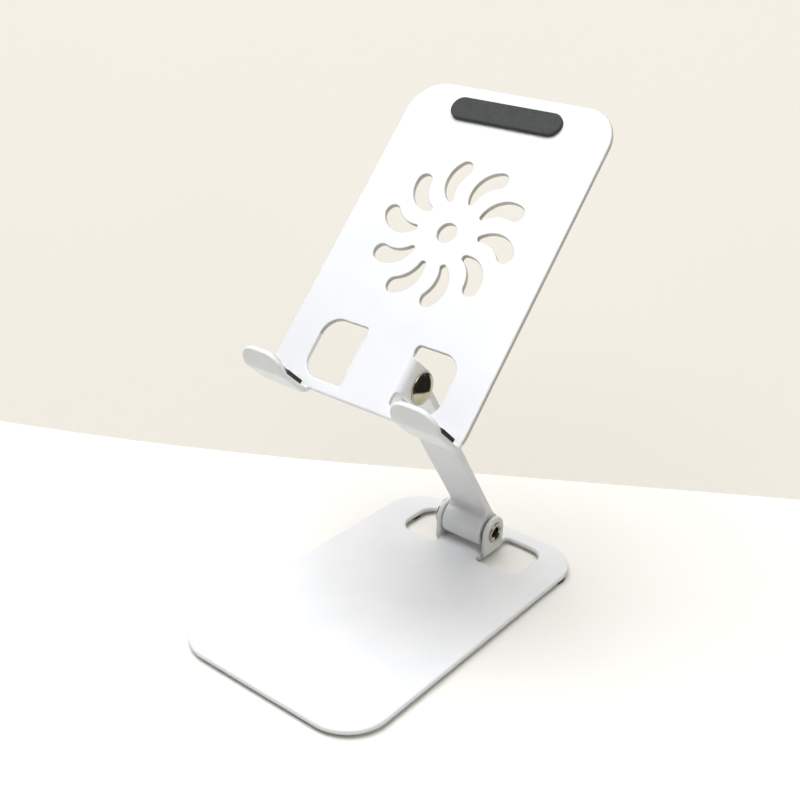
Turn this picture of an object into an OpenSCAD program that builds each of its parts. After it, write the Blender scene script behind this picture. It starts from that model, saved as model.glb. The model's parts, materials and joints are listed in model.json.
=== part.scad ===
// Folding phone stand: base plate, hinged arm and tilting back plate with
// two hooks. Millimetres, +Z up, front towards -Y, table surface at Z = 0,
// origin at the centre of the footprint.

/* [Sheet metal] */
// Thickness of the base plate and back plate sheet
sheet_t = 2.0; // [1.5:0.1:3]
// Inside radius of the hinge ear bends
ear_bend_r = 1.0; // [0.6:0.1:4]
// Gap cut beside each bent ear
relief = 0.3; // [0.3:0.05:1]

/* [Base plate] */
// Width of the base plate
base_w = 84; // [70:0.5:110]
// Depth of the base plate, front to back
base_d = 139.7; // [110:0.1:180]
// Corner radius of the base plate
base_r = 16.5; // [4:0.5:25]
// Distance from the centre line to the inner edge of a cutout
cut_in = 10.1; // [8:0.1:14]
// Distance from the centre line to the outer edge of a base cutout
base_cut_out = 28.1; // [20:0.1:36]
// Front edge of the base cutouts
base_cut_y0 = 40.8; // [30:0.05:50]
// Rear edge of the base cutouts
base_cut_y1 = 63.0; // [52:0.05:66]
// Radius of the outer cutout corners
cut_r_out = 7; // [2:0.1:9]
// Radius of the inner cutout corners
cut_r_in = 1.5; // [0.5:0.1:3]

/* [Feet] */
// Diameter of a rubber foot
foot_d = 13; // [8:0.1:20]
// Height of a rubber foot
foot_h = 1.5; // [1:0.1:4]
// Distance of the rear foot centres from the centre line
foot_x = 35.2; // [15:0.1:36]
// Distance of the rear foot centres from the middle
foot_y = 54.6; // [30:0.1:62]
// Distance of the front foot centres from the centre line
foot_front_x = 32.5; // [15:0.1:36]
// Distance of the front foot centres from the middle
foot_front_y = 51.5; // [30:0.1:62]

/* [Hinges] */
// Rear position of the base hinge line
low_y = 50.5; // [45:0.1:56]
// Height of the base hinge line above the table
low_z = 12.1; // [10:0.1:16]
// Length of the arm between the two hinge lines
arm_len = 96.28; // [70:0.01:130]
// Forward lean of the arm from upright
arm_lean = 33.93; // [0:0.01:60]
// Half distance between the outer faces of a pair of ears
ear_out = 12.0; // [10:0.1:14]
// Radius of the rounded ear outline
ear_r = 6.3; // [5:0.1:9]
// Radius of the threaded sleeve of a hinge nut
sleeve_r = 2.6; // [2:0.1:3]
// Radius of the domed head of a hinge nut
dome_r = 5.7; // [4:0.1:7]
// Height of the domed head of a hinge nut
dome_h = 2.3; // [1:0.1:4]
// Radius of the hinge screw head
head_r = 4.2; // [3.5:0.1:6]
// Height of the hinge screw head
head_h = 0.7; // [0.6:0.1:3]
// Width across flats of the hex socket
hex_af = 4; // [2.5:0.5:5]

/* [Arm] */
// Radius of the arm barrels
barrel_r = 6.9; // [5:0.1:8]
// Half width of the arm
arm_half = 8.8; // [6:0.1:10]
// Front face of the arm web, behind the line joining the hinges
web_front = 3.1; // [1:0.1:4]
// Thickness of the arm web
web_t = 2.9; // [2:0.1:5]
// Radius of the fillet between the web front and a barrel
fillet_f = 3.0; // [1:0.1:5]
// Radius of the fillet between the web back and a barrel
fillet_b = 5.0; // [2:0.1:8]
// Radius of the barrel bore that holds the bush
bore_r = 3.6; // [3:0.1:5]

/* [Back plate] */
// Width of the back plate
plate_w = 82.64; // [70:0.1:110]
// Height of the back plate along its slope
plate_h = 121.42; // [90:0.1:160]
// Radius of the two upper corners
plate_r = 13; // [4:0.5:20]
// Backward lean of the back plate from upright
plate_lean = 42.13; // [0:0.1:70]
// Distance of the hinge line above the lower edge of the plate
hinge_u = 15.5; // [12:0.1:24]
// Distance of the hinge line behind the front face of the plate
hinge_n = 10.8; // [10:0.1:15]
// Distance from the centre line to the outer edge of a plate cutout
plate_cut_out = 28.2; // [20:0.1:36]
// Lower edge of the plate cutouts above the lower plate edge
plate_cut_u0 = 4.1; // [3:0.1:8]
// Upper edge of the plate cutouts above the lower plate edge
plate_cut_u1 = 26.4; // [22:0.1:32]

/* [Vent pattern] */
// Number of petal slots
petals = 10; // [6:1:14]
// Height of the pattern centre above the lower plate edge
fan_u = 66.1; // [50:0.1:80]
// Radius of the centre hole
fan_hole_r = 3.7; // [2:0.1:6]
// Turn of the first petal
fan_turn = 76.2; // [0:0.1:90]
// Inner end of a petal, distance from the pattern centre
tip_x = 13.19; // [10:0.01:16]
// Inner end radius of a petal
tip_r = 1.1; // [0.5:0.05:2]
// Outer end of a petal, distance along its root line
end_x = 24.33; // [20:0.01:28]
// Outer end of a petal, sweep to the side
end_y = -4.2; // [-8:0.01:0]
// Outer end radius of a petal
end_r = 2.95; // [2:0.01:4]
// Radius of the convex petal edge
petal_ro = 9.58; // [8:0.01:14]
// Radius of the concave petal edge
petal_ri = 10.22; // [8:0.01:16]

/* [Hooks] */
// Inner side of a hook from the centre line
hook_in = 22.3; // [14:0.1:28]
// Outer side of a hook from the centre line
hook_out = 40.6; // [30:0.1:41]
// Reach of the flat tray in front of the plate
tray_n = 11.5; // [8:0.1:20]
// Angle of the raised lip to the tray
lip_angle = 26; // [10:1:60]
// Length of the raised lip
lip_len = 7.7; // [7.2:0.1:14]
// Radius of the lip corners
lip_r = 7.0; // [2:0.1:7]
// Inside radius of the bend between tray and lip
lip_bend_r = 2.3; // [1.6:0.1:5]

/* [Pads] */
// Length of the top pad
pad_l = 44.5; // [30:0.5:60]
// Width of the top pad
pad_w = 8.5; // [5:0.5:12]
// Height of the top pad centre above the lower plate edge
pad_u = 112.2; // [100:0.1:116]
// Thickness of the top pad
pad_t = 1.5; // [0.8:0.1:3]
// Thickness of the hook pads
hook_pad_t = 1.4; // [0.8:0.1:1.5]
// Margin between a hook pad and the edges of the tray
hook_pad_in = 0.4; // [0.2:0.1:2]
// Extra margin of a hook pad on the raised lip
hook_pad_lip = 2.3; // [0:0.1:2.5]
// Start of a hook pad in front of the plate face
hook_pad_n0 = 3.2; // [1:0.1:6]

/* [Hidden] */
$fn = 96;
eps = 0.01;
low_top = foot_h + sheet_t;
up_y = low_y - arm_len * sin(arm_lean);
up_z = low_z + arm_len * cos(arm_lean);
ear_in = ear_out - sheet_t;
bend_ro = ear_bend_r + sheet_t;
bend_x = ear_out - bend_ro;
washer_gap = ear_in - arm_half;
play = 0.3;
fit = 0.06;
tray_top = -0.2;
hook_ri = 1.0;
hook_ro = hook_ri + sheet_t;
white = [0.93, 0.93, 0.92];
nickel = [0.72, 0.70, 0.66];
rubber = [0.12, 0.12, 0.12];
grey = [0.35, 0.36, 0.36];
nylon = [0.55, 0.55, 0.54];

// 2-D and 3-D helpers

// Rectangle with its own radius at the left and the right corners
module rrect(x0, y0, x1, y1, rl, rr) {
  union() {
    translate([x0 + rl, y0]) square([x1 - rr - x0 - rl, y1 - y0]);
    translate([x0, y0 + rl]) square([rl + eps, y1 - y0 - 2 * rl]);
    translate([x1 - rr - eps, y0 + rr]) square([rr + eps, y1 - y0 - 2 * rr]);
    translate([x0 + rl, y0 + rl]) circle(rl);
    translate([x0 + rl, y1 - rl]) circle(rl);
    translate([x1 - rr, y0 + rr]) circle(rr);
    translate([x1 - rr, y1 - rr]) circle(rr);
  }
}

// Both sides of a part that is mirrored about the centre line
module both() { children(); mirror([1, 0, 0]) children(); }

// Cylinder along X from x0 to x1
module xcyl(r, x0, x1) {
  translate([x0, 0, 0]) rotate([0, 90, 0]) cylinder(r = r, h = x1 - x0);
}

// Points of an arc about (cx, cy), n steps from angle a0 to a1
function arc(cx, cy, r, a0, a1, n) =
  [for (i = [0 : n]) [cx + r * cos(a0 + (a1 - a0) * i / n),
                      cy + r * sin(a0 + (a1 - a0) * i / n)]];

// Petal outline from four tangent arcs
pl = norm([end_x - tip_x, end_y]);
pd = atan2(end_y, end_x - tip_x);
oa = petal_ro - tip_r;
ob = petal_ro - end_r;
ot = (pl * pl + oa * oa - ob * ob) / (2 * pl);
oh = sqrt(oa * oa - ot * ot);
ocx = tip_x + ot * cos(pd) + oh * sin(pd);
ocy = ot * sin(pd) - oh * cos(pd);
na = petal_ri + tip_r;
nb = petal_ri + end_r;
nt = (pl * pl + na * na - nb * nb) / (2 * pl);
nh = sqrt(na * na - nt * nt);
ncx = tip_x + nt * cos(pd) + nh * sin(pd);
ncy = nt * sin(pd) - nh * cos(pd);
a_ot = atan2(0 - ocy, tip_x - ocx);
a_oe = atan2(end_y - ocy, end_x - ocx);
a_nt = atan2(0 - ncy, tip_x - ncx);
a_ne = atan2(end_y - ncy, end_x - ncx);
petal = concat(
  arc(tip_x, 0, tip_r, a_nt + 180, a_ot, 10),
  arc(ocx, ocy, petal_ro, a_ot, a_oe, 18),
  arc(end_x, end_y, end_r, a_oe, a_ne - 180, 16),
  arc(ncx, ncy, petal_ri, a_ne, a_nt, 16));

// Ear pair seen from the side: the rounded flap, drawn from the root side up
// in the local frame of a hinge line; root_y is where the flap starts
module ear(root_y, hole) {
  difference() {
    union() {
      translate([ear_in, 0, 0]) rotate([90, 0, 90]) linear_extrude(sheet_t)
        union() {
          circle(ear_r);
          translate([root_y, -ear_r]) square([-root_y, 2 * ear_r]);
        }
      // quarter bend down into the sheet
      translate([bend_x, root_y, -ear_r]) difference() {
        cylinder(r = bend_ro, h = 2 * ear_r);
        translate([0, 0, -1]) cylinder(r = ear_bend_r, h = 2 * ear_r + 2);
        translate([-20, -20, -1]) cube([20, 40, 2 * ear_r + 2]);
        translate([-1, 0, -1]) cube([20, 20, 2 * ear_r + 2]);
      }
    }
    xcyl(hole, ear_in - 1, ear_out + 1);
  }
}

// Domed nut along +X: head outside the right ear, sleeve across the hinge
module nut_x() {
  sr = (dome_r * dome_r + (dome_h - 0.5) * (dome_h - 0.5)) / (2 * (dome_h - 0.5));
  difference() {
    union() {
      intersection() {
        translate([ear_out + dome_h - sr, 0, 0]) sphere(r = sr, $fn = 160);
        xcyl(dome_r, ear_out, ear_out + dome_h + 1);
      }
      xcyl(sleeve_r, -ear_in - 0.2, ear_out + 0.2);
    }
    xcyl(1.75, -ear_in - 1.2, 8);
  }
}

// Hex socket screw along -X: head outside the left ear, shank in the sleeve
module screw_x() {
  difference() {
    union() {
      xcyl(head_r, -ear_out - head_h + 0.4, -ear_out);
      translate([-ear_out - head_h + 0.4, 0, 0]) rotate([0, -90, 0])
        cylinder(r1 = head_r, r2 = head_r - 0.4, h = 0.4);
      xcyl(sleeve_r - 0.05, -ear_out - 0.3, -ear_out + 1.75);
      xcyl(1.75, -ear_out, 4);
    }
    translate([-ear_out - head_h - 1, 0, 0]) rotate([0, 90, 0])
      linear_extrude(1 + head_h + 1.3)
        polygon([for (i = [0 : 5]) [hex_af / sqrt(3) * cos(60 * i),
                                    hex_af / sqrt(3) * sin(60 * i)]]);
  }
}

module bush_x() {
  difference() {
    xcyl(bore_r, -arm_half, arm_half);
    xcyl(sleeve_r + fit, -arm_half - 1, arm_half + 1);
  }
}

// Flat ring on the hinge line
module ring_x(ro, x0, x1) {
  difference() {
    xcyl(ro, x0, x1);
    xcyl(sleeve_r + 0.05, x0 - 1, x1 + 1);
  }
}

module at_low() { translate([0, low_y, low_z]) children(); }
module at_top() { translate([0, up_y, up_z]) rotate([-plate_lean, 0, 0]) children(); }

// Base plate with two ears bent up

module base_plate() color(white) union() {
  translate([0, 0, foot_h]) linear_extrude(sheet_t) difference() {
    rrect(-base_w / 2, -base_d / 2, base_w / 2, base_d / 2, base_r, base_r);
    both() {
      rrect(cut_in, base_cut_y0, base_cut_out, base_cut_y1, cut_r_in, cut_r_out);
      translate([bend_x, low_y - ear_r - relief])
        square([cut_in + 2 - bend_x, 2 * (ear_r + relief)]);
    }
  }
  at_low() both() rotate([90, 0, 0]) ear(-(low_z - foot_h - bend_ro), sleeve_r + 0.05);
}

// Arm: two barrels joined by a web set behind the hinge lines

wb = web_front + web_t;
f_y = web_front - fillet_f;
f_z = sqrt((barrel_r + fillet_f) * (barrel_r + fillet_f) - f_y * f_y);
b_y = wb + fillet_b;
b_z = sqrt((barrel_r + fillet_b) * (barrel_r + fillet_b) - b_y * b_y);

// Material that rounds the corners between a barrel and the web
module arm_fillets() {
  difference() {
    polygon([[0, 3], [f_y, f_z], [web_front + 1, f_z], [web_front + 1, 3]]);
    translate([f_y, f_z]) circle(fillet_f - 0.03);
  }
  difference() {
    polygon([[wb - 1, 1], [wb - 1, b_z], [b_y, b_z], [3, 1]]);
    translate([b_y, b_z]) circle(fillet_b - 0.03);
  }
}

module arm() color(white) at_low() rotate([arm_lean, 0, 0]) difference() {
  union() {
    xcyl(barrel_r, -arm_half, arm_half);
    translate([0, 0, arm_len]) xcyl(barrel_r, -arm_half, arm_half);
    translate([-arm_half, web_front, 2]) cube([2 * arm_half, web_t, arm_len - 4]);
    translate([-arm_half, 0, 0]) rotate([90, 0, 90]) linear_extrude(2 * arm_half)
      arm_fillets();
    translate([-arm_half, 0, arm_len]) mirror([0, 0, 1]) rotate([90, 0, 90])
      linear_extrude(2 * arm_half) arm_fillets();
  }
  xcyl(bore_r, -arm_half - 1, arm_half + 1);
  translate([0, 0, arm_len]) xcyl(bore_r, -arm_half - 1, arm_half + 1);
}

// Back plate with vent pattern, cutouts, two ears and two hooks

module plate_flat() {
  difference() {
    union() {
      rrect(-plate_w / 2, plate_h / 2, plate_w / 2, plate_h, plate_r, plate_r);
      translate([-plate_w / 2, 0]) square([plate_w, plate_h - plate_r]);
    }
    both() {
      rrect(cut_in, plate_cut_u0, plate_cut_out, plate_cut_u1, cut_r_in, cut_r_out);
      translate([bend_x, hinge_u - ear_r - relief])
        square([cut_in + 2 - bend_x, 2 * (ear_r + relief)]);
      // the hooks leave the sheet at their bends
      translate([hook_in - relief, -1])
        square([hook_out - hook_in + 2 * relief, 1 + tray_top + hook_ri]);
    }
    translate([0, fan_u]) {
      circle(fan_hole_r);
      for (k = [0 : petals - 1]) rotate(fan_turn - 360 / petals * k) polygon(petal);
    }
  }
}

// Side outline of a layer that follows the tray and the lip, from z0 to z1
// above the tray top; first number behind the plate face, second up the plate
function chain(z, len) = concat(
  [for (i = [0 : 8]) [-(tray_n + (lip_bend_r - z) * sin(lip_angle * i / 8)),
    tray_top + lip_bend_r - (lip_bend_r - z) * cos(lip_angle * i / 8)]],
  [[-(tray_n + (lip_bend_r - z) * sin(lip_angle) + len * cos(lip_angle)),
    tray_top + lip_bend_r - (lip_bend_r - z) * cos(lip_angle) + len * sin(lip_angle)]]);
function back(list) = [for (i = [len(list) - 1 : -1 : 0]) list[i]];
function root(r) = [for (i = [0 : 12]) [-hook_ri + r * cos(90 * i / 12),
    tray_top + hook_ri - r * sin(90 * i / 12)]];

// Layer across the hook width with the two lip corners rounded and the lip
// sides set in by s
module hook_body(outline, w0, w1, len, r, s = 0) {
  corner = concat(s > 0 ? [[-1, len + 1.8], [0, len + 1.8], [s, len + 0.2]] : [[-1, r]],
                  arc(s + r, r, r, 180, 270, 12), [[s + r, -1], [-1, -1]]);
  difference() {
    translate([w0, 0, 0]) rotate([90, 0, 90]) linear_extrude(w1 - w0) polygon(outline);
    translate([0, -tray_n, tray_top + lip_bend_r]) rotate([-lip_angle, 0, 0])
      translate([0, -len, -lip_bend_r - sheet_t - 1]) linear_extrude(2 * sheet_t + 2) {
        translate([w0, 0]) polygon(corner);
        translate([w1, 0]) mirror([1, 0]) polygon(corner);
      }
  }
}

module hook() hook_body(concat(root(hook_ro), chain(-sheet_t, lip_len),
    back(chain(0, lip_len)), back(root(hook_ri))), hook_in, hook_out, lip_len, lip_r);

module back_plate() color(white) at_top() {
  translate([0, -hinge_n, -hinge_u]) {
    translate([0, sheet_t, 0]) rotate([90, 0, 0]) linear_extrude(sheet_t) plate_flat();
    both() hook();
  }
  both() ear(-(hinge_n - bend_ro), sleeve_r + 0.05);
}

// Rubber parts

module top_pad() color(rubber) at_top()
  translate([0, -hinge_n, pad_u - hinge_u]) rotate([90, 0, 0]) linear_extrude(pad_t)
    union() {
      square([pad_l - pad_w, pad_w], center = true);
      translate([-(pad_l - pad_w) / 2, 0]) circle(pad_w / 2);
      translate([(pad_l - pad_w) / 2, 0]) circle(pad_w / 2);
    }

pad_len = lip_len - hook_pad_in - hook_pad_lip;
module hook_pad() color(rubber)
  translate([0, -hinge_n, -hinge_u])
    hook_body(concat([[-hook_pad_n0, tray_top]], chain(0, pad_len),
                     back(chain(hook_pad_t, pad_len)),
                     [[-hook_pad_n0, tray_top + hook_pad_t]]),
              hook_in + hook_pad_in, hook_out - hook_pad_in, pad_len,
              lip_r - hook_pad_in - hook_pad_lip, hook_pad_lip);
module hook_pad_right() at_top() hook_pad();
module hook_pad_left() at_top() mirror([1, 0, 0]) hook_pad();

module foot(x, y) color(rubber) translate([x, y, 0]) union() {
  cylinder(r1 = foot_d / 2 - 0.3, r2 = foot_d / 2, h = 0.3);
  translate([0, 0, 0.3]) cylinder(d = foot_d, h = foot_h - 0.3);
}
module foot_front_left() foot(-foot_front_x, -foot_front_y);
module foot_front_right() foot(foot_front_x, -foot_front_y);
module foot_rear_left() foot(-foot_x, foot_y);
module foot_rear_right() foot(foot_x, foot_y);

// Hinge hardware

module base_hinge_nut() color(nickel) at_low() mirror([1, 0, 0]) nut_x();
module base_hinge_screw() color(nickel) at_low() mirror([1, 0, 0]) screw_x();
module base_washer_left() color(nylon) at_low()
  ring_x(5.2, -ear_in, -ear_in + washer_gap - play);
module base_washer_right() color(nylon) at_low()
  ring_x(5.2, ear_in - washer_gap + play, ear_in - 0.45);
module base_spring_washer() color(nickel) at_low()
  ring_x(4.6, ear_in - 0.45, ear_in);
module base_hinge_bush() color(grey) at_low() rotate([arm_lean, 0, 0]) bush_x();

module top_hinge_nut() color(nickel) at_top() nut_x();
module top_hinge_screw() color(nickel) at_top() screw_x();
module top_washer_left() color(nylon) at_top()
  ring_x(5.2, -ear_in + 0.45, -ear_in + washer_gap - play);
module top_washer_right() color(nylon) at_top()
  ring_x(5.2, ear_in - washer_gap + play, ear_in);
module top_spring_washer() color(nickel) at_top()
  ring_x(4.6, -ear_in, -ear_in + 0.45);
module top_hinge_bush() color(grey) translate([0, up_y, up_z]) rotate([arm_lean, 0, 0]) bush_x();

base_plate();
arm();
back_plate();
top_pad();
hook_pad_left();
hook_pad_right();
foot_front_left();
foot_front_right();
foot_rear_left();
foot_rear_right();
base_hinge_nut();
base_hinge_screw();
base_washer_left();
base_washer_right();
base_spring_washer();
base_hinge_bush();
top_hinge_nut();
top_hinge_screw();
top_washer_left();
top_washer_right();
top_spring_washer();
top_hinge_bush();
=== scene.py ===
import bpy, json, math
import numpy as np
from mathutils import Vector, Matrix, geometry


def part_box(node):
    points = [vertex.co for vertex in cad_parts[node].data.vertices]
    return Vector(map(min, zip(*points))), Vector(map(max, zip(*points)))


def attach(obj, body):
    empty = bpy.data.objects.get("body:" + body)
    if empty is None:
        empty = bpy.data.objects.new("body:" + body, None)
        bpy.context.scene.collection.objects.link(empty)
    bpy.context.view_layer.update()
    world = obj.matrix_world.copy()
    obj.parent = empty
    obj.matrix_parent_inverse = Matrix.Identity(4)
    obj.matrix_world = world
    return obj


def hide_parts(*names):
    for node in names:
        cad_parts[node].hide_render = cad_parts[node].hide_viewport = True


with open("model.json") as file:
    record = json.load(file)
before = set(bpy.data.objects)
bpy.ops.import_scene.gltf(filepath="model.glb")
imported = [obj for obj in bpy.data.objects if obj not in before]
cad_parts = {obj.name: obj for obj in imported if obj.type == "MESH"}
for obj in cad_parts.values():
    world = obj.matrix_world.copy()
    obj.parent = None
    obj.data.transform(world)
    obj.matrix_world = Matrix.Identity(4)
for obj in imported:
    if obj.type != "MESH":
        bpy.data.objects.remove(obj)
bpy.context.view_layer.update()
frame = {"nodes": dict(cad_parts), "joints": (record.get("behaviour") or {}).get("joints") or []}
scene = bpy.context.scene
MM = 0.001
JOINT = {j["name"]: Vector(j["pos_m"]) / MM for j in frame["joints"]}
LOW, UP = JOINT["arm_fold"], JOINT["plate_tilt"]

# ---- sizes shared with the CAD, in millimetres -------------------------------
SHEET = 2.0
BASE_TOP = 3.5                            # top face of the base above the table
BASE_W, BASE_D, BASE_R = 84.0, 139.7, 16.5
PLATE_W, PLATE_H, PLATE_R = 82.64, 121.42, 13.0
PLATE_LEAN = math.radians(42.13)          # back plate from upright
HINGE_BACK, HINGE_UP = 10.8, 15.5         # upper hinge line behind / above the plate's lower front edge
ARM_LEAN = math.atan2(LOW.y - UP.y, UP.z - LOW.z)
ARM_LEN = math.hypot(LOW.y - UP.y, UP.z - LOW.z)
ARM_HALF = 8.8

# cutouts beside the ears: inner side, outer side in each sheet, lower and upper end, corner radii
CUT_IN, BASE_CUT_OUT, PLATE_CUT_OUT = 10.1, 28.1, 28.2
BASE_CUT_Y, PLATE_CUT_U = (40.8, 63.0), (4.1, 26.4)
CUT_R_IN, CUT_R_OUT = 1.5, 7.0
# ears: bend line, round end, inner bend radius, outer face, hinge hole
BEND_X, EAR_R, EAR_BEND_R, EAR_OUT, EAR_HOLE_R = 9.0, 6.3, 1.0, 12.0, 2.65
EAR_BEND = math.pi / 2 * (EAR_BEND_R + SHEET / 2)            # flat length of an ear's bend
BASE_REACH = EAR_BEND + LOW.z - BASE_TOP - EAR_BEND_R        # and from the bend line to the hinge hole
PLATE_REACH = EAR_BEND + HINGE_BACK - SHEET - EAR_BEND_R

HOOK_IN, HOOK_OUT = 22.3, 40.6            # sides of a hook
TRAY, TRAY_TOP = 11.5, -0.2               # distance from the plate to the lip's bend, height of the tray
ROOT_BEND_R, LIP_BEND_R = 1.0, 2.3        # inner bend radii
LIP_TILT = math.radians(26)               # how far the lip turns up from the tray
LIP, LIP_R = 7.7, 7.0                     # flat length of the lip, radius of its corners
ROOT_U = TRAY_TOP + ROOT_BEND_R           # the plate bends into the hook from here down
ROOT_BEND = math.pi / 2 * (ROOT_BEND_R + SHEET / 2)          # flat lengths from the root: of its bend,
LIP_START = ROOT_BEND + TRAY - ROOT_BEND_R                   # to the lip's bend,
LIP_BEND = LIP_TILT * (LIP_BEND_R + SHEET / 2)               # and of that bend

VENT_U, VENT_R, VENTS, VENT_TURN = 66.1, 3.7, 10, 76.2       # fan: height, hub hole, count, first angle
PAD_U, PAD_L, PAD_W, PAD_H = 112.2, 44.5, 8.5, 1.5           # top pad
HOOK_PAD_H, HOOK_PAD_START = 1.4, 3.2     # hook pad: thickness, distance in front of the plate
HOOK_PAD_IN, HOOK_PAD_LIP_IN = 0.4, 2.3   # inset from the hook's sides, further inset on the lip
FOOT_R, FOOT_H = 6.5, 1.5

# ---- finish of the visual model, in millimetres -------------------------------
EAR_FILLET = 0.6                          # at an ear's root
EAR_BLEND, BLEND_DEPTH = 1.7, 0.9         # the bend fades into the sheet over this width, and ends this deep
ROOT_FILLET, ROOT_BLEND = 1.3, 0.4        # fillet and extra fading width beside a hook's root
SHOULDER = (-2.5, 4.0)                    # the plate's side swings out from the hook between these heights
EDGE_STEPS = 4                            # steps in each rounding of a sheet's cut edge
STEP, FINE = 0.45, 0.15                   # spacing of points on outlines and on small fillets
GRID = 1.5                                # spacing of the inner points of a bent face
AROUND = 72                               # sides of a turned part


def to_plate(x, n, u):
    """Plate coordinates: across, in front of the front face, up from the lower edge."""
    y, z = -HINGE_BACK - n, u - HINGE_UP
    return (x, UP.y + y * math.cos(PLATE_LEAN) + z * math.sin(PLATE_LEAN),
            UP.z - y * math.sin(PLATE_LEAN) + z * math.cos(PLATE_LEAN))


def to_arm(x, y, z):
    """Arm coordinates: the lower hinge line is at the origin and the upper one straight up from it."""
    return (x, LOW.y + y * math.cos(ARM_LEAN) - z * math.sin(ARM_LEAN),
            LOW.z + y * math.sin(ARM_LEAN) + z * math.cos(ARM_LEAN))


# ---- outlines ----------------------------------------------------------------
def arc(cx, cy, r, a0, a1, step=STEP):
    """Points on an arc from a0 to a1 degrees, both ends included."""
    n = max(4, int(abs(math.radians(a1 - a0)) * r / step))
    n = max(n, int(abs(a1 - a0) / 7))
    return [(cx + r * math.cos(math.radians(a0 + (a1 - a0) * i / n)),
             cy + r * math.sin(math.radians(a0 + (a1 - a0) * i / n))) for i in range(n + 1)]


def run(p, q, step=STEP):
    """Evenly spaced points from p to q, both ends included."""
    n = max(1, round(math.hypot(q[0] - p[0], q[1] - p[1]) / step))
    return [(p[0] + (q[0] - p[0]) * i / n, p[1] + (q[1] - p[1]) * i / n) for i in range(n + 1)]


def dense(points, step, inside=None, coarse=6.0):
    """Splits the edges of a closed outline at every step where inside(x, y) holds, else at every coarse."""
    out = []
    for i, p in enumerate(points):
        q = points[(i + 1) % len(points)]
        out.append(p)
        mid = ((p[0] + q[0]) / 2, (p[1] + q[1]) / 2)
        n = int(math.hypot(q[0] - p[0], q[1] - p[1]) / (step if inside is None or inside(*mid) else coarse))
        for k in range(1, n + 1):
            t = k / (n + 1)
            out.append((p[0] + (q[0] - p[0]) * t, p[1] + (q[1] - p[1]) * t))
    return out


def clean(points, eps=1e-4):
    """Drops points that repeat the one before, also across the outline's end."""
    out = []
    for p in points:
        if not out or math.hypot(p[0] - out[-1][0], p[1] - out[-1][1]) > eps:
            out.append(p)
    if math.hypot(out[0][0] - out[-1][0], out[0][1] - out[-1][1]) <= eps:
        out.pop()
    return out


def mirror(points):
    return [(-x, y) for x, y in reversed(points)]


def inset(points, d):
    """Moves a closed outline to its left, the side that holds material."""
    p = np.array(points)
    along = np.roll(p, -1, 0) - p
    along /= np.linalg.norm(along, axis=1)[:, None]
    left = np.stack([-along[:, 1], along[:, 0]], 1)
    corner = left + np.roll(left, 1, 0)
    corner /= np.maximum((corner * corner).sum(1), 0.5)[:, None] / 2
    return p + corner * d


def circle_hole(cx, cy, r, step=0.4):
    return clean(arc(cx, cy, r, 0, 360, step))[::-1]


def round_rect(w, d, r):
    x, y = w / 2 - r, d / 2 - r
    return clean(arc(x, y, r, 0, 90) + arc(-x, y, r, 90, 180)
                 + arc(-x, -y, r, 180, 270) + arc(x, -y, r, 270, 360))


# ---- solid from a flat pattern -----------------------------------------------
def inside_loop(px, py, loop):
    """For each point, whether it is inside the closed loop."""
    x0, y0 = loop[:, 0][:, None], loop[:, 1][:, None]
    x1, y1 = np.roll(loop[:, 0], -1)[:, None], np.roll(loop[:, 1], -1)[:, None]
    cross = (y0 > py) != (y1 > py)
    with np.errstate(divide="ignore", invalid="ignore"):
        hit = cross & (px < (x1 - x0) * (py - y0) / (y1 - y0) + x0)
    return hit.sum(0) % 2 == 1


def in_material(points, polys):
    """For each point, whether it is inside the first outline and outside all the others."""
    ok = inside_loop(points[:, 0], points[:, 1], polys[0])
    for hole in polys[1:]:
        ok &= ~inside_loop(points[:, 0], points[:, 1], hole)
    return ok


def rim_profile(t, r_top, r_bottom, steps):
    """(inset, height) from the top face over the cut edge to the bottom face."""
    turns = [math.pi / 2 * k / steps for k in range(steps + 1)]
    top = [(r_top * (1 - math.sin(a)), t - r_top * (1 - math.cos(a))) for a in turns]
    return top + [(r_bottom * (1 - math.cos(a)), r_bottom * (1 - math.sin(a))) for a in turns]


def flat_face(verts, faces, rings, z, up, extra, gap=0.3):
    """Fills the rings, each (first vertex, count), with triangles; extra points near no ring are used too."""
    ids, points, edges, polys = [], [], [], []
    for start, n in rings:
        base = len(points)
        ids.extend(range(start, start + n))
        points.extend(Vector(verts[i][:2]) for i in range(start, start + n))
        edges.extend((base + i, base + (i + 1) % n) for i in range(n))
        polys.append(np.array([verts[i][:2] for i in range(start, start + n)]))
    if len(extra):
        inner = np.array(extra)
        near = np.min([np.min(np.hypot(inner[:, 0][:, None] - q[:, 0], inner[:, 1][:, None] - q[:, 1]), 1)
                       for q in polys], 0)
        for x, y in inner[in_material(inner, polys) & (near > gap)]:
            ids.append(len(verts))
            verts.append((float(x), float(y), z))
            points.append(Vector((float(x), float(y))))
    found, _, triangles, sources, _, _ = geometry.delaunay_2d_cdt(points, edges, [], 0, 1e-6)
    index = []
    for point, source in zip(found, sources):
        index.append(ids[source[0]] if source else len(verts))
        if not source:
            verts.append((point.x, point.y, z))
    middles = np.array([[sum(found[i][k] for i in f) / 3 for k in (0, 1)] for f in triangles])
    for triangle, ok in zip(triangles, in_material(middles, polys)):
        if ok:
            f = [index[i] for i in triangle]
            a, b, c = (verts[i] for i in f)
            is_up = (b[0] - a[0]) * (c[1] - a[1]) - (b[1] - a[1]) * (c[0] - a[0]) > 0
            faces.append(tuple(f if is_up == up else f[::-1]))


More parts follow.
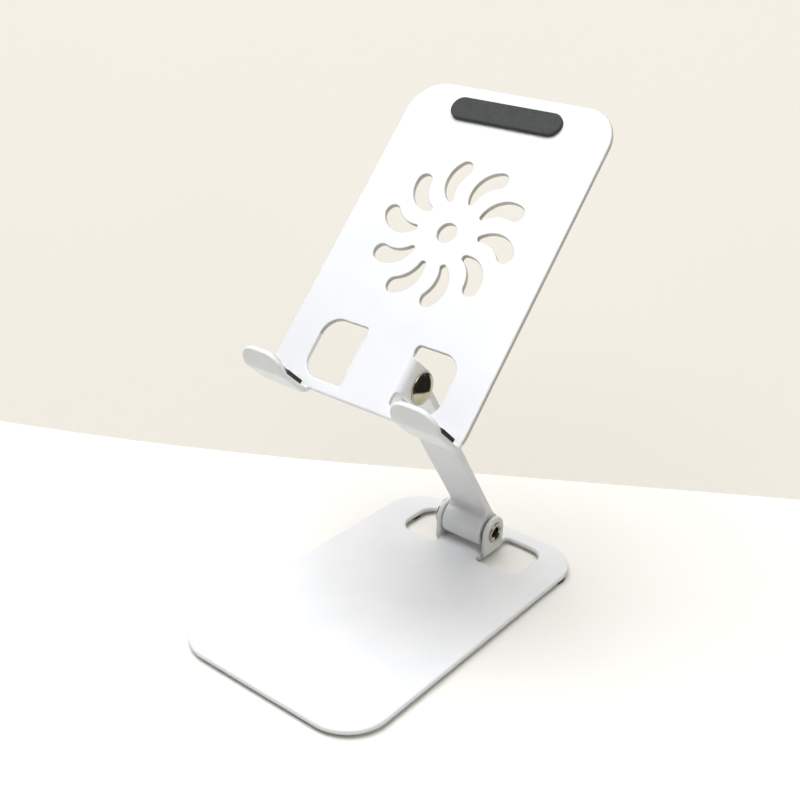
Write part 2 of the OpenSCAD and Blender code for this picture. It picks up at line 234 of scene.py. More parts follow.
def slab(loops, t, r_top, r_bottom, extra=(), steps=3, r_hole=None):
    """Slab from z = 0 to t with rounded edges, as vertices and faces. loops[0] is the outline, the others are
    holes, and all hold material on their left. The faces start with each loop's bands of the cut edge, from
    the top down. r_hole is the rounding of the holes, if it is another."""
    verts, faces, top, bottom = [], [], [], []
    for loop in loops:
        n = len(loop)
        radii = (r_top, r_bottom) if r_hole is None or loop is loops[0] else (r_hole, r_hole)
        starts = []
        for d, z in rim_profile(t, *radii, steps):
            starts.append(len(verts))
            verts.extend((x, y, z) for x, y in inset(loop, d))
        for a, b in zip(starts, starts[1:]):
            faces.extend((a + i, b + i, b + (i + 1) % n, a + (i + 1) % n) for i in range(n))
        top.append((starts[0], n))
        bottom.append((starts[-1], n))
    flat_face(verts, faces, top, t, True, extra)
    flat_face(verts, faces, bottom, 0.0, False, extra)
    return verts, faces


def flip_x(verts, faces):
    return [(-x, y, z) for x, y, z in verts], [q[::-1] for q in faces]


def make(name, verts, faces, body, node, mats, place, slot):
    """The finished piece: place() moves the points, it rides on the body and replaces the CAD node."""
    me = bpy.data.meshes.new(name)
    me.from_pydata([tuple(c * MM for c in place(*v)) for v in verts], [], faces)
    me.validate()
    for p in me.polygons:
        p.use_smooth = True
    for m in mats:
        me.materials.append(m)
    ob = bpy.data.objects.new(name, me)
    scene.collection.objects.link(ob)
    normals = ob.modifiers.new("normals", "WEIGHTED_NORMAL")
    normals.mode, normals.weight, normals.keep_sharp = "FACE_AREA", 50, True
    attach(ob, body)
    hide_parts(node)
    return ob


def shade_edges(sheet, loops, pick):
    """Painted shade on a sheet's cut edges: the picked ones get the sheet's second, darker material, from
    the middle of one rounding to the middle of the other."""
    bands = 2 * EDGE_STEPS + 1
    start = 0
    for number, loop in enumerate(loops):
        for k, point in enumerate(loop):
            if pick(number, *point):
                for band in range(EDGE_STEPS // 2, bands - EDGE_STEPS // 2):
                    sheet.data.polygons[start + band * len(loop) + k].material_index = 1
        start += bands * len(loop)


# ---- materials ---------------------------------------------------------------
def material(name, color, rough, metal=0.0):
    """A new material, its node tree, its shader and its texture coordinates."""
    m = bpy.data.materials.new(name)
    m.use_nodes = True
    shader = m.node_tree.nodes["Principled BSDF"]
    shader.inputs["Base Color"].default_value = (*color, 1)
    shader.inputs["Roughness"].default_value = rough
    shader.inputs["Metallic"].default_value = metal
    return m, m.node_tree, shader, m.node_tree.nodes.new("ShaderNodeTexCoord")


def noise(tree, coords, scale, detail=2.0, rough=0.5):
    n = tree.nodes.new("ShaderNodeTexNoise")
    n.inputs["Scale"].default_value = scale
    n.inputs["Detail"].default_value = detail
    n.inputs["Roughness"].default_value = rough
    tree.links.new(coords.outputs["Object"], n.inputs["Vector"])
    return n.outputs["Fac"]


def spread(tree, value, low, high, start=0.3, end=0.7):
    """Maps start..end of the value to low..high."""
    n = tree.nodes.new("ShaderNodeMapRange")
    n.inputs["From Min"].default_value, n.inputs["From Max"].default_value = start, end
    n.inputs["To Min"].default_value, n.inputs["To Max"].default_value = low, high
    tree.links.new(value, n.inputs["Value"])
    return n.outputs["Result"]


def blend_color(tree, value, c0, c1):
    n = tree.nodes.new("ShaderNodeValToRGB")
    for stop, position, color in zip(n.color_ramp.elements, (0.3, 0.7), (c0, c1)):
        stop.position, stop.color = position, (*color, 1)
    tree.links.new(value, n.inputs["Fac"])
    return n.outputs["Color"]


def bump(tree, shader, height, strength, distance, before=None):
    n = tree.nodes.new("ShaderNodeBump")
    n.inputs["Strength"].default_value = strength
    n.inputs["Distance"].default_value = distance
    tree.links.new(height, n.inputs["Height"])
    if before:
        tree.links.new(before, n.inputs["Normal"])
    tree.links.new(n.outputs["Normal"], shader.inputs["Normal"])
    return n.outputs["Normal"]


def mix_color(tree, share, c0, color):
    """c0 where share is 0, the linked colour where it is 1."""
    n = tree.nodes.new("ShaderNodeMix")
    n.data_type = "RGBA"
    factor, first, second = n.inputs[0], n.inputs[6], n.inputs[7]
    first.default_value = (*c0, 1)
    tree.links.new(share, factor)
    tree.links.new(color, second)
    return n.outputs[2]


def powder_coat(name, c0, c1, painted_gap_shade=(0.27, 0.27, 0.21)):
    """Satin coat with a fine orange peel; painted shade turns it darker and warmer in gaps and inner corners.
    """
    m, tree, shader, coords = material(name, c0, 0.42)
    # painted shade: where ambient occlusion finds near surfaces, the colour turns to the dark warm gap tone
    gap = tree.nodes.new("ShaderNodeAmbientOcclusion")
    gap.samples, gap.only_local, gap.inputs["Distance"].default_value = 6, True, 0.004
    unshaded_share = spread(tree, gap.outputs["AO"], 0, 1, 0.3, 0.9)
    color = mix_color(tree, unshaded_share, painted_gap_shade, blend_color(tree, noise(tree, coords, 60, 3), c0, c1))
    tree.links.new(color, shader.inputs["Base Color"])
    tree.links.new(spread(tree, noise(tree, coords, 900, 3), 0.30, 0.40), shader.inputs["Roughness"])
    peel = bump(tree, shader, noise(tree, coords, 700, 1.5), 0.35, 0.00002)
    bump(tree, shader, noise(tree, coords, 2600, 2), 0.25, 0.00001, peel)
    shader.inputs["IOR"].default_value = 1.5
    return m


def rubber(name, c0, c1, rough, grain):
    m, tree, shader, coords = material(name, c0, rough)
    tree.links.new(blend_color(tree, noise(tree, coords, 1800, 4, 0.7), c0, c1), shader.inputs["Base Color"])
    tree.links.new(spread(tree, noise(tree, coords, 500, 3), rough - 0.06, rough + 0.08),
                   shader.inputs["Roughness"])
    bump(tree, shader, noise(tree, coords, 2200, 4, 0.75), grain, 0.00005)
    shader.inputs["IOR"].default_value = 1.48
    return m


def nickel(name, c0, c1):
    m, tree, shader, coords = material(name, c0, 0.14, 1.0)
    tree.links.new(blend_color(tree, noise(tree, coords, 300, 3), c0, c1), shader.inputs["Base Color"])
    tree.links.new(spread(tree, noise(tree, coords, 900, 4), 0.08, 0.17), shader.inputs["Roughness"])
    bump(tree, shader, noise(tree, coords, 400, 2), 0.08, 0.00003)
    return m


def moulded(name, c0, c1, rough, metal=0.0):
    """Fine even grain: the plastic washers and bushes, and the near-black painted shade in a screw's socket.
    """
    m, tree, shader, coords = material(name, c0, rough, metal)
    tree.links.new(blend_color(tree, noise(tree, coords, 500, 3), c0, c1), shader.inputs["Base Color"])
    tree.links.new(spread(tree, noise(tree, coords, 1200, 2), rough - 0.05, rough + 0.07),
                   shader.inputs["Roughness"])
    bump(tree, shader, noise(tree, coords, 1500, 2), 0.15, 0.00002)
    return m


WHITE = powder_coat("powder coat white", (0.795, 0.806, 0.815), (0.83, 0.838, 0.845))
# painted shade: a darker, olive copy of the coat for the back plate's cut edges
SHADED_EDGE = powder_coat("powder coat painted edge shade", (0.52, 0.517, 0.46), (0.56, 0.555, 0.50))
PAD = rubber("pad grey", (0.035, 0.037, 0.036), (0.049, 0.052, 0.049), 0.74, 0.35)
BLACK = rubber("rubber black", (0.010, 0.010, 0.009), (0.020, 0.020, 0.018), 0.55, 0.25)
NICKEL = nickel("nickel plate", (0.47, 0.44, 0.33), (0.54, 0.505, 0.395))
SOCKET_SHADE = moulded("painted socket shade", (0.020, 0.020, 0.014), (0.045, 0.044, 0.034), 0.32, 0.8)
NYLON = moulded("nylon", (0.30, 0.30, 0.29), (0.36, 0.36, 0.35), 0.5)
BUSH = moulded("bush", (0.11, 0.11, 0.11), (0.14, 0.14, 0.14), 0.55)


# ---- ears, bent out of both sheets -------------------------------------------
def smooth(t):
    t = min(1.0, max(0.0, t))
    return t * t * (3 - 2 * t)


def mix3(p, q, share):
    return tuple(a + (b - a) * share for a, b in zip(p, q))


def ear_hole(side, out, low, high, centre, reach):
    """Outline of a cutout with the ear's flat blank left standing in it."""
    down, up, fillet, tip = centre - EAR_R, centre + EAR_R, EAR_FILLET, BEND_X + reach
    fade = 2.2                                      # past the ear's root, the points stay close this far
    path = run((CUT_IN, down - fade), (CUT_IN, down - fillet))[::-1] + [(CUT_IN, low + CUT_R_IN)]
    path += arc(CUT_IN + CUT_R_IN, low + CUT_R_IN, CUT_R_IN, 180, 270)
    path += arc(out - CUT_R_OUT, low + CUT_R_OUT, CUT_R_OUT, 270, 360)
    path += arc(out - CUT_R_OUT, high - CUT_R_OUT, CUT_R_OUT, 0, 90)
    path += arc(CUT_IN + CUT_R_IN, high - CUT_R_IN, CUT_R_IN, 90, 180)
    path += run((CUT_IN, up + fade), (CUT_IN, up + fillet))
    path += arc(CUT_IN + fillet, up + fillet, fillet, 180, 270, FINE)
    path += run((CUT_IN + fillet, up), (tip, up)) + arc(tip, centre, EAR_R, 90, -90)
    path += run((tip, down), (CUT_IN + fillet, down))
    path += arc(CUT_IN + fillet, down - fillet, fillet, 90, 180, FINE)
    path = clean(path)                              # runs counter-clockwise, so it is reversed for a hole
    return path[::-1] if side > 0 else [(-x, y) for x, y in path]


def ear_share(across, off, reach):
    """1 in the ear, falling to 0 in the sheet beside its bend."""
    beside, tiny = abs(off) - EAR_R, 1e-3
    if across <= BEND_X:
        return 0.0
    if beside <= tiny:
        in_end = math.hypot(across - BEND_X - reach, off) <= EAR_R + tiny
        return 1.0 if across <= BEND_X + reach or in_end else 0.0
    return 1 - smooth(beside / EAR_BLEND) if across < CUT_IN + BLEND_DEPTH else 0.0


def ear_grid(centre, reach):
    """Inner points for the flat faces along an ear and where its bend fades into the sheet."""
    bend = [BEND_X + EAR_BEND * k / 12 for k in range(13)]
    straight = [BEND_X + EAR_BEND + k * GRID for k in range(1, int((reach - EAR_BEND + 5) / GRID))]
    ear_rows, fade_rows = (-5.4, -3.6, -1.8, 0, 1.8, 3.6, 5.4), (0, 0.4, 0.8, 1.2, 1.7)
    fade_x = [BEND_X + k * 0.27 for k in range(4)]
    points = [(side * x, centre + y) for side in (1, -1) for x in bend + straight for y in ear_rows]
    return points + [(side * x, centre + end * (EAR_R + y))
                     for side in (1, -1) for end in (1, -1) for x in fade_x for y in fade_rows]


# ---- base plate --------------------------------------------------------------
def base_map(x, y, z):
    """Flat pattern to the bent base plate, whose ears stand up."""
    along, side = abs(x) - BEND_X, (1 if x > 0 else -1)
    flat = (x, y, BASE_TOP - SHEET + z)
    share = ear_share(abs(x), y - LOW.y, BASE_REACH)
    if not share:
        return flat
    radius = EAR_BEND_R + SHEET - z
    if along < EAR_BEND:
        turn = along / (EAR_BEND_R + SHEET / 2)
        bent = (side * (BEND_X + radius * math.sin(turn)), y, BASE_TOP + EAR_BEND_R - radius * math.cos(turn))
        return mix3(flat, bent, share)
    return (side * (BEND_X + radius), y, BASE_TOP + EAR_BEND_R + along - EAR_BEND)


loops = [round_rect(BASE_W, BASE_D, BASE_R)]
loops += [ear_hole(side, BASE_CUT_OUT, *BASE_CUT_Y, LOW.y, BASE_REACH) for side in (1, -1)]
loops += [circle_hole(side * (BEND_X + BASE_REACH), LOW.y, EAR_HOLE_R) for side in (1, -1)]
sheet = slab(loops, SHEET, 0.85, 0.65, ear_grid(LOW.y, BASE_REACH), EDGE_STEPS)
make("base_plate_sheet", *sheet, "base", "base_plate", [WHITE], base_map, "white_coat")


# ---- back plate --------------------------------------------------------------
def hook_path(s, off):
    """(n, u) at flat distance s down from the hook's root; off is the height above the tray's top side,
    negative inside the sheet."""
    radius = ROOT_BEND_R - off
    if s < 0:
        return (off, ROOT_U - s)
    if s < ROOT_BEND:
        turn = s / (ROOT_BEND_R + SHEET / 2)
        return (ROOT_BEND_R - radius * math.cos(turn), ROOT_U - radius * math.sin(turn))
    if s < LIP_START:
        return (ROOT_BEND_R + s - ROOT_BEND, TRAY_TOP + off)
    radius = LIP_BEND_R - off
    turn = min((s - LIP_START) / (LIP_BEND_R + SHEET / 2), LIP_TILT)
    past = max(0.0, s - LIP_START - LIP_BEND)
    return (TRAY + radius * math.sin(turn) + past * math.cos(turn),
            TRAY_TOP + LIP_BEND_R - radius * math.cos(turn) + past * math.sin(turn))


def plate_map(x, u, z):
    """Flat pattern to the bent back plate: ears behind it, hooks in front of it."""
    across, side = abs(x), (1 if x > 0 else -1)
    flat = to_plate(x, z - SHEET, u)
    share = ear_share(across, u - HINGE_UP, PLATE_REACH)
    if share:
        along, radius, behind = across - BEND_X, EAR_BEND_R + z, -SHEET - EAR_BEND_R
        if along < EAR_BEND:
            turn = along / (EAR_BEND_R + SHEET / 2)
            bent = to_plate(side * (BEND_X + radius * math.sin(turn)), behind + radius * math.cos(turn), u)
            return mix3(flat, bent, share)
        return to_plate(side * (BEND_X + radius), behind - (along - EAR_BEND), u)
    if u < ROOT_U:
        share = smooth((across - HOOK_IN + ROOT_FILLET + ROOT_BLEND) / (ROOT_FILLET + ROOT_BLEND))
        if share:
            return mix3(flat, to_plate(x, *hook_path(ROOT_U - u, z - SHEET)), share)
    return flat


def back_outline():
    """Flat outline of the plate with both hooks unrolled below it."""
    half, end, low, high = PLATE_W / 2, ROOT_U - (LIP_BEND + LIP_START + LIP), *SHOULDER
    shoulder = [(HOOK_OUT + (half - HOOK_OUT) * smooth((u - low) / (high - low)), u)
                for u in np.linspace(low, high, 22)]
    inner = HOOK_IN - ROOT_FILLET
    right = [(0, 0)] + run((inner - 1.2, 0), (inner, 0), 0.3)
    right += arc(inner, -ROOT_FILLET, ROOT_FILLET, 90, 0, FINE)
    right += [(HOOK_IN, end + LIP_R)] + arc(HOOK_IN + LIP_R, end + LIP_R, LIP_R, 180, 270)
    right += arc(HOOK_OUT - LIP_R, end + LIP_R, LIP_R, 270, 360) + shoulder
    right += arc(half - PLATE_R, PLATE_H - PLATE_R, PLATE_R, 0, 90) + [(0, PLATE_H)]
    return dense(clean(right + mirror(right)[1:-1]), 0.4, lambda x, y: y < 0.9 and abs(x) > HOOK_IN - 2.6)


def petal():
    """Outline of the vent that points along +X from the fan's middle: two round ends joined by two arcs."""
    root_x, root_r, tip_x, tip_y, tip_r, outer_r, inner_r = 13.19, 1.1, 24.33, -4.2, 2.95, 9.58, 10.22
    span, heading = math.hypot(tip_x - root_x, tip_y), math.atan2(tip_y, tip_x - root_x)

    def centre(from_root, from_tip):
        along = (span * span + from_root * from_root - from_tip * from_tip) / (2 * span)
        off = math.sqrt(from_root * from_root - along * along)
        return (root_x + along * math.cos(heading) + off * math.sin(heading),
                along * math.sin(heading) - off * math.cos(heading))

    def bearing(x, y):
        return math.degrees(math.atan2(y, x))
    outer_x, outer_y = centre(outer_r - root_r, outer_r - tip_r)
    inner_x, inner_y = centre(inner_r + root_r, inner_r + tip_r)
    outer_0, outer_1 = bearing(root_x - outer_x, -outer_y), bearing(tip_x - outer_x, tip_y - outer_y)
    inner_0, inner_1 = bearing(root_x - inner_x, -inner_y), bearing(tip_x - inner_x, tip_y - inner_y)
    path = arc(root_x, 0, root_r, inner_0 + 180, outer_0, 0.3)
    path += arc(outer_x, outer_y, outer_r, outer_0, outer_1, 0.5)
    path += arc(tip_x, tip_y, tip_r, outer_1, inner_1 - 180, 0.35)
    return clean(path + arc(inner_x, inner_y, inner_r, inner_1, inner_0, 0.5))


def fan():
    """The hub hole and the vents round it."""
    one = petal()
    holes = [circle_hole(0, VENT_U, VENT_R, 0.35)]
    for k in range(VENTS):
        turn = math.radians(VENT_TURN - 360 / VENTS * k)
        c, s = math.cos(turn), math.sin(turn)
        holes.append([(c * x - s * y, VENT_U + s * x + c * y) for x, y in one])
    return holes


def hook_grid():
    """Inner points for the flat faces along the hooks and beside their roots."""
    root = [ROOT_U - ROOT_BEND * k / 10 for k in range(11)]
    tray = [ROOT_U - ROOT_BEND - k for k in range(1, 11)]
    bend = [ROOT_U - LIP_START - LIP_BEND * k / 6 for k in range(7)]
    lip = [ROOT_U - LIP_START - LIP_BEND - k * 1.2 for k in range(1, 7)]
    columns = np.arange(HOOK_IN + 1.2, HOOK_OUT - 0.8, 1.6)
    beside = [HOOK_IN - 1.8 + k * 0.4 for k in range(8)]
    points = [(side * x, u) for side in (1, -1) for x in columns for u in root + tray + bend + lip]
    return points + [(side * x, u) for side in (1, -1) for x in beside for u in root[:6]]


def gets_edge_shade(number, x, u):
    """The cut edges that get painted shade: the outline above the hooks, the cutouts' upper half and the fan.
    """
    if number == 0:
        return u > 1.0
    if number in (1, 2):
        return u > HINGE_UP and ear_share(abs(x), u - HINGE_UP, PLATE_REACH) <= 0
    return number > 4


loops = [back_outline()]
loops += [ear_hole(side, PLATE_CUT_OUT, *PLATE_CUT_U, HINGE_UP, PLATE_REACH) for side in (1, -1)]
loops += [circle_hole(side * (BEND_X + PLATE_REACH), HINGE_UP, EAR_HOLE_R) for side in (1, -1)]
loops += fan()
sheet = slab(loops, SHEET, 0.8, 0.65, ear_grid(HINGE_UP, PLATE_REACH) + hook_grid(), EDGE_STEPS, 0.4)
plate = make("back_plate_sheet", *sheet, "plate", "back_plate", [WHITE, SHADED_EDGE], plate_map, "white_coat")
# painted shade on the picked cut edges of the back plate
shade_edges(plate, loops, gets_edge_shade)


# ---- arm ---------------------------------------------------------------------
def arm_outline():
    """Side view of the arm: a barrel at each end, with a fillet on each side of the web between them."""
    barrel, web_front, web_back, fillet_front, fillet_back = 6.9, 3.1, 6.0, 3.0, 5.0
    front_y, back_y = web_front - fillet_front, web_back + fillet_back
    front_z = math.sqrt((barrel + fillet_front) ** 2 - front_y * front_y)
    back_z = math.sqrt((barrel + fillet_back) ** 2 - back_y * back_y)
    front, back = math.degrees(math.atan2(front_z, front_y)), math.degrees(math.atan2(back_z, back_y))
    low = arc(back_y, back_z, fillet_back, 180, 180 + back, 0.3)
    low += arc(0, 0, barrel, back, front - 360, 0.4)
    low += arc(front_y, front_z, fillet_front, front - 180, 0, 0.3)
    return clean(low + [(y, ARM_LEN - z) for y, z in reversed(low)])[::-1]


bores = [circle_hole(0, z, 3.6) for z in (0, ARM_LEN)]
make("arm_link", *slab([arm_outline()] + bores, 2 * ARM_HALF, 0.5, 0.5), "link", "arm", [WHITE],
     lambda y, z, x: to_arm(x - ARM_HALF, y, z), "white_coat")


# ---- pads and feet -----------------------------------------------------------
def hook_pad():
    """Pad of the right hook: y runs back along the hook from its root, z up from the tray's top side."""
    start, bend_end = ROOT_BEND + HOOK_PAD_START - ROOT_BEND_R, LIP_START + LIP_BEND
    end = bend_end + LIP - HOOK_PAD_IN - HOOK_PAD_LIP_IN
    inner, outer, r = HOOK_IN + HOOK_PAD_IN, HOOK_OUT - HOOK_PAD_IN, LIP_R - HOOK_PAD_IN - HOOK_PAD_LIP_IN
    wide, narrow = -LIP_START - 0.2, -LIP_START - 0.2 - 2.4          # the pad narrows between these
    path = [(inner, -start), (inner, wide), (inner + HOOK_PAD_LIP_IN, narrow)]
    path += arc(inner + HOOK_PAD_LIP_IN + r, -end + r, r, 180, 270)
    path += arc(outer - HOOK_PAD_LIP_IN - r, -end + r, r, 270, 360)
    path += [(outer - HOOK_PAD_LIP_IN, narrow), (outer, wide), (outer, -start)]
    rows = list(np.arange(start + 1, LIP_START - 0.3, GRID))
    rows += [LIP_START + LIP_BEND * k / 5 for k in range(6)] + [bend_end + k for k in range(1, 7)]
    grid = [(x, -s) for x in np.arange(inner + 1, outer - 0.5, GRID) for s in rows]
    return slab([dense(clean(path), 0.5)], HOOK_PAD_H, 0.35, 0.05, grid)


def on_hook(x, y, z):
    return to_plate(x, *hook_path(-y, z))


half, end = (PAD_L - PAD_W) / 2, PAD_W / 2
top_pad = slab([clean(arc(half, 0, end, -90, 90) + arc(-half, 0, end, 90, 270))], PAD_H, 0.45, 0.1, (), 4)
make("top_pad_rubber", *top_pad, "plate", "top_pad", [PAD], lambda x, y, z: to_plate(x, z, PAD_U + y),
     "rubber_grey")

pad = hook_pad()
make("hook_pad_left_rubber", *flip_x(*pad), "plate", "hook_pad_left", [BLACK], on_hook, "rubber_black")
make("hook_pad_right_rubber", *pad, "plate", "hook_pad_right", [BLACK], on_hook, "rubber_black")

foot = slab([clean(arc(0, 0, FOOT_R, 0, 360, 0.5))], FOOT_H, 0.1, 0.35)
for name in ("foot_front_left", "foot_front_right", "foot_rear_left", "foot_rear_right"):
    low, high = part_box(name)
    c = (low + high) / 2 / MM
    make(name + "_rubber", *foot, "base", name, [BLACK], lambda x, y, z: (c.x + x, c.y + y, z),
         "rubber_black")


# ---- hinge hardware ----------------------------------------------------------
def nut_profile():
    """(radius, x) of the dome outside the +X ear, then of the sleeve that reaches back across the hinge."""
    r, height, ear, edge = 5.7, 2.3, EAR_OUT, 0.3
    cap_height = height - 0.5
    dome_r = (r * r + cap_height ** 2) / (2 * cap_height)
    centre = ear + height - dome_r
    profile = [(dome_r * math.sin(a), centre + dome_r * math.cos(a))
               for a in np.linspace(0, math.asin((r - 0.22) / dome_r), 18)]
    for k in range(5):
        a = math.radians(30 + 60 * k / 4)
        profile.append((r - edge + edge * math.sin(a), ear + 0.42 + edge * math.cos(a)))
    sleeve_r, bore_r, sleeve_end, bore_end = 2.6, 1.75, -10.2, 8.0
    profile += [(r, ear + 0.12), (r - 0.12, ear), (sleeve_r, ear), (sleeve_r, sleeve_end + 0.2)]
    return profile + [(sleeve_r - 0.2, sleeve_end), (bore_r, sleeve_end), (bore_r, bore_end), (0.0, bore_end)]


def nut_mesh():
    """The profile turned about the X axis; its two ends are on the axis."""
    verts, faces, rings = [], [], []
    for r, x in nut_profile():
        on_axis = r < 1e-6
        rings.append(list(range(len(verts), len(verts) + (1 if on_axis else AROUND))))
        turns = [0.0] if on_axis else [2 * math.pi * k / AROUND for k in range(AROUND)]
        verts.extend((x, r * math.cos(a), r * math.sin(a)) for a in turns)
    for a, b in zip(rings, rings[1:]):
        for i in range(AROUND):
            j = (i + 1) % AROUND
            if len(a) == 1:
                faces.append((a[0], b[j], b[i]))
            elif len(b) == 1:
                faces.append((a[i], a[j], b[0]))
            else:
                faces.append((a[i], a[j], b[j], b[i]))
    return verts, faces


SOCKET_BANDS = 4                          # the first bands of the screw are its socket, which gets the painted shade


def screw_mesh():
    """Socket head outside the -X ear, then the shank along +X."""
    ear, front = -EAR_OUT, -EAR_OUT - 0.7
    head_r, edge, sleeve_r, shank_r, shank_end = 4.2, 0.35, 2.55, 1.75, 4.0

    def hexagon(a, half=2.0):
        off = (a + math.pi / 6) % (math.pi / 3) - math.pi / 6
        return min(half / math.cos(off), half * 1.135)
    socket = [(ear + 1.15, -0.05), (ear + 1.0, 0.0), (front + 0.62, 0.0), (front + 0.5, 0.08)]
    face = [(front + 0.12, 2.85), (front + 0.02, 3.05), (front, 3.3), (front, head_r - 0.45)]
    rim = [math.radians(18 * k + 18) for k in range(5)]
    rim = [(front + edge * (1 - math.cos(a)), head_r - edge + edge * math.sin(a)) for a in rim]
    shank = [(ear - 0.1, head_r), (ear, head_r - 0.1), (ear, sleeve_r), (ear + 1.75, sleeve_r),
             (ear + 1.75, shank_r), (shank_end, shank_r)]
    rings = [(ear + 1.3, 0.5, False)] + [(x, r, True) for x, r in socket]
    rings += [(x, r, False) for x, r in face + rim + shank]
    verts, faces = [], []
    for x, r, hexed in rings:
        for k in range(AROUND):
            a = 2 * math.pi * k / AROUND
            full = hexagon(a) + r if hexed else r
            verts.append((x, full * math.cos(a), full * math.sin(a)))
    for a in range(0, len(verts) - AROUND, AROUND):
        b = a + AROUND
        faces.extend((a + k, b + k, b + (k + 1) % AROUND, a + (k + 1) % AROUND) for k in range(AROUND))
    bottom, end = len(verts), len(verts) + 1
    verts += [(ear + 1.4, 0, 0), (shank_end, 0, 0)]
    faces.extend((bottom, k, (k + 1) % AROUND) for k in range(AROUND))
    last = bottom - AROUND
    faces.extend((end, last + (k + 1) % AROUND, last + k) for k in range(AROUND))
    return verts, faces


def outward(verts, faces):
    """Turns all faces if the closed mesh has negative volume."""
    p = np.array(verts)
    volume = 0.0
    for q in faces:
        for i in range(1, len(q) - 1):
            volume += float(np.dot(p[q[0]], np.cross(p[q[i]], p[q[i + 1]])))
    return verts, faces if volume > 0 else [q[::-1] for q in faces]


def at_top(x, y, z):
    return to_plate(x, -HINGE_BACK - y, HINGE_UP + z)


def at_low(x, y, z):
    return (x, LOW.y + y, LOW.z + z)


nut = outward(*nut_mesh())
screw = outward(*screw_mesh())
low_nut, low_screw = flip_x(*nut), flip_x(*screw)
both = [NICKEL, SOCKET_SHADE]
make("top_hinge_nut_dome", *nut, "plate", "top_hinge_nut", [NICKEL], at_top, "nickel")
at_plate = make("top_hinge_screw_socket", *screw, "plate", "top_hinge_screw", both, at_top, "nickel")
make("base_hinge_nut_dome", *low_nut, "base", "base_hinge_nut", [NICKEL], at_low, "nickel")
at_base = make("base_hinge_screw_socket", *low_screw, "base", "base_hinge_screw", both, at_low, "nickel")
socket_bottom = len(screw[0]) - 2         # the vertex in the middle of the socket's bottom
# painted shade: the socket's walls and bottom get the near-black material
for ob in (at_plate, at_base):
    for p in ob.data.polygons:
        if p.index < SOCKET_BANDS * AROUND or socket_bottom in p.vertices:
            p.material_index = 1

WASHERS = ("base_washer_left", "base_washer_right", "top_washer_left", "top_washer_right")
for mat, nodes in ((NYLON, WASHERS), (NICKEL, ("base_spring_washer", "top_spring_washer")),
                   (BUSH, ("base_hinge_bush", "top_hinge_bush"))):
    for node in nodes:
        mesh = frame["nodes"][node].data
        mesh.materials.clear()
        mesh.materials.append(mat)


# ---- stage, camera and light, in metres ---------------------------------------
def camera():
    """The photograph's view: where the camera stands, which way it looks and how long its lens is."""
    turn, rise, roll = math.radians(37.33), math.radians(25.12), math.radians(2.54)
    back = Vector((math.sin(turn) * math.cos(rise), -math.cos(turn) * math.cos(rise), math.sin(rise)))
    level = Vector((0, 0, 1)).cross(back).normalized()
    upright = back.cross(level)
    right = level * math.cos(roll) + upright * math.sin(roll)
    up = upright * math.cos(roll) - level * math.sin(roll)
    data = bpy.data.cameras.new("camera")
    data.lens, data.sensor_width, data.clip_start = 51.66, 36, 0.01
    place = Matrix((right, up, back)).transposed().to_4x4()
    place.translation = Vector((0.21478, -0.28056, 0.24853))
    ob = bpy.data.objects.new("camera", data)
    ob.matrix_world = place
    scene.collection.objects.link(ob)
    scene.camera = ob


def plane(name, points, mat, faces=None):
    me = bpy.data.meshes.new(name)
    me.from_pydata(points, [], faces or [tuple(range(len(points)))])
    me.materials.append(mat)
    ob = bpy.data.objects.new(name, me)
    scene.collection.objects.link(ob)
    return ob


def area(name, place, target, size, power, color):
    light = bpy.data.lights.new(name, "AREA")
    light.energy, light.color, light.size = power, color, size
    ob = bpy.data.objects.new(name, light)
    ob.location = place
    ob.rotation_euler = (Vector(target) - Vector(place)).to_track_quat("-Z", "Y").to_euler()
    scene.collection.objects.link(ob)


def table_white():
    """Its bounce light is duller and warmer than the view of it; the view of it gets a painted glow that
    grows with distance from the stand, so it stays pale out to the horizon.
    """
    m, tree, shader, coords = material("table white", (0.88, 0.875, 0.86), 0.6)
    seen = tree.nodes.new("ShaderNodeLightPath").outputs["Is Camera Ray"]
    color = blend_color(tree, noise(tree, coords, 3, 2), (0.885, 0.87, 0.82), (0.90, 0.885, 0.835))
    tree.links.new(mix_color(tree, seen, (0.76, 0.745, 0.69), color), shader.inputs["Base Color"])
    bump(tree, shader, noise(tree, coords, 400, 3), 0.05, 0.0002)
    # painted glow: emission seen only by the camera, rising from 0.7 m to 2.6 m from the stand
    away, glow = tree.nodes.new("ShaderNodeVectorMath"), tree.nodes.new("ShaderNodeMath")
    away.operation, glow.operation = "LENGTH", "MULTIPLY"
    tree.links.new(coords.outputs["Object"], away.inputs[0])
    tree.links.new(spread(tree, away.outputs["Value"], 0, 0.85, 0.7, 2.6), glow.inputs[0])
    tree.links.new(seen, glow.inputs[1])
    tree.links.new(glow.outputs[0], shader.inputs["Emission Strength"])
    shader.inputs["Emission Color"].default_value = (1.0, 0.985, 0.95, 1)
    return m


def wall_cream():
    """Glows a little, and can be seen through from behind."""
    m, tree, shader, coords = material("wall cream", (0.25, 0.24, 0.225), 0.9)
    color = blend_color(tree, noise(tree, coords, 2.5, 3), (0.245, 0.235, 0.217), (0.257, 0.248, 0.236))
    tree.links.new(color, shader.inputs["Base Color"])
    shader.inputs["Emission Color"].default_value = (1.0, 0.945, 0.84, 1)
    shader.inputs["Emission Strength"].default_value = 0.62
    kinds = ("BsdfTransparent", "NewGeometry", "MixShader")
    clear, side, mix = (tree.nodes.new("ShaderNode" + kind) for kind in kinds)
    tree.links.new(side.outputs["Backfacing"], mix.inputs[0])
    tree.links.new(shader.outputs[0], mix.inputs[1])
    tree.links.new(clear.outputs[0], mix.inputs[2])
    output = next(n for n in tree.nodes if n.type == "OUTPUT_MATERIAL")
    tree.links.new(mix.outputs[0], output.inputs["Surface"])
    return m


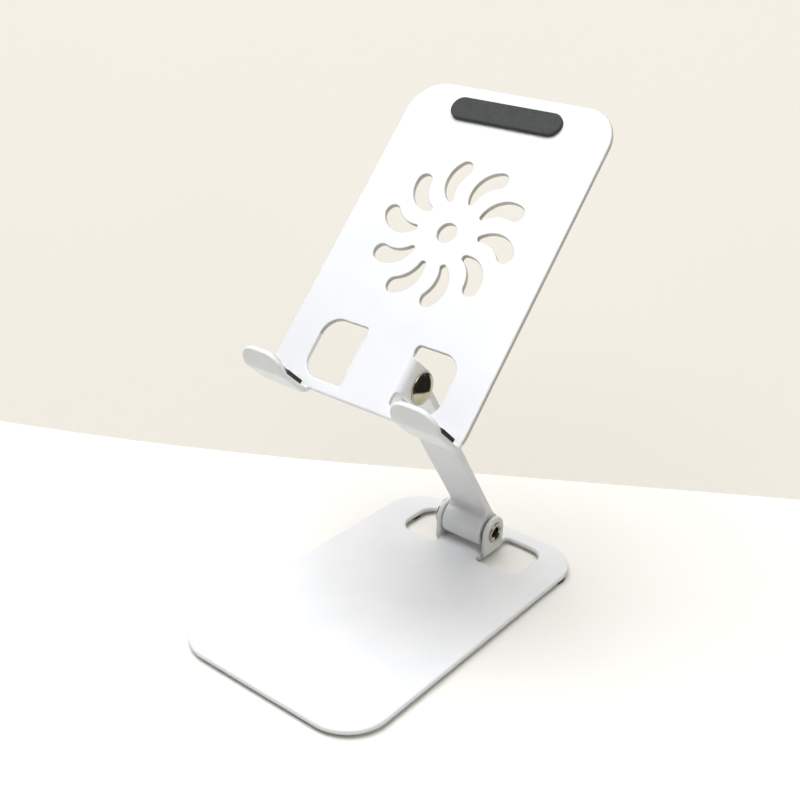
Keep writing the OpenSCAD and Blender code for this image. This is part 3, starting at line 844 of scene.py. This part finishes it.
def backdrop():
    """Wall behind the stand: its foot turns a little on a soft curve, and it leans away from every pose."""
    corner, soft, far, height, lean = Vector((-0.146, 0.0305)), 0.08, 4.5, 3.0, 0.6
    left, right = math.radians(204.7), math.radians(32.9)
    to_left, to_right = (Vector((math.cos(a), math.sin(a))) for a in (left, right))
    foot = [corner + to_left * far]
    foot += [corner + to_left * soft * (1 - t) ** 2 + to_right * soft * t ** 2 for t in np.linspace(0, 1, 7)]
    foot += [corner + to_right * far]
    away = Vector((-to_right.y, to_right.x)) * lean
    top = [p + away * height for p in foot]
    points = [(*p, 0.0) for p in foot] + [(*p, height) for p in top]
    n = len(foot)
    wall = plane("wall", points, wall_cream(), [(i, i + 1, i + 1 + n, i + n) for i in range(n - 1)])
    for p in wall.data.polygons:
        p.use_smooth = True


def dark_strip():
    """Dark surround that only glossy surfaces see, for the polished metal."""
    foot, height = [(0.045, 0.150), (0.097, 0.142), (0.200, 0.030), (0.200, -0.250)], 0.145
    points = [(x, y, 0.0) for x, y in foot] + [(x, y, height) for x, y in reversed(foot)]
    card = plane("dark_card", points, material("dark card", (0.012, 0.013, 0.015), 0.9)[0])
    card.visible_camera = card.visible_diffuse = card.visible_shadow = card.visible_transmission = False


def surround():
    """World that is pale to look at and nearly dark as a light source."""
    world = bpy.data.worlds.new("world")
    world.use_nodes = True
    tree = world.node_tree
    dim = tree.nodes["Background"]
    dim.inputs["Color"].default_value = (0.95, 0.98, 1.0, 1)
    dim.inputs["Strength"].default_value = 0.035
    kinds = ("Background", "MixShader", "LightPath")
    pale, mix, path = (tree.nodes.new("ShaderNode" + kind) for kind in kinds)
    pale.inputs["Color"].default_value = (1.0, 0.985, 0.95, 1)
    pale.inputs["Strength"].default_value = 0.85
    tree.links.new(path.outputs["Is Camera Ray"], mix.inputs[0])
    tree.links.new(dim.outputs[0], mix.inputs[1])
    tree.links.new(pale.outputs[0], mix.inputs[2])
    tree.links.new(mix.outputs[0], tree.nodes["World Output"].inputs["Surface"])
    scene.world = world


camera()
far = 4.0
plane("floor", [(-far, -far, 0), (far, -far, 0), (far, far, 0), (-far, far, 0)], table_white())
backdrop()
dark_strip()
surround()
scene.view_settings.view_transform = "Standard"
area("key", (-0.22, -0.28, 1.50), (0, 0, 0.08), 1.35, 29.7, (0.955, 0.963, 1.0))
area("side", (0.75, -0.35, 1.15), (0, 0, 0.05), 0.7, 3.4, (1.0, 0.985, 0.95))
area("window", (1.15, -0.22, 0.62), (0, 0, 0.08), 0.3, 1.0, (1.0, 1.0, 0.98))
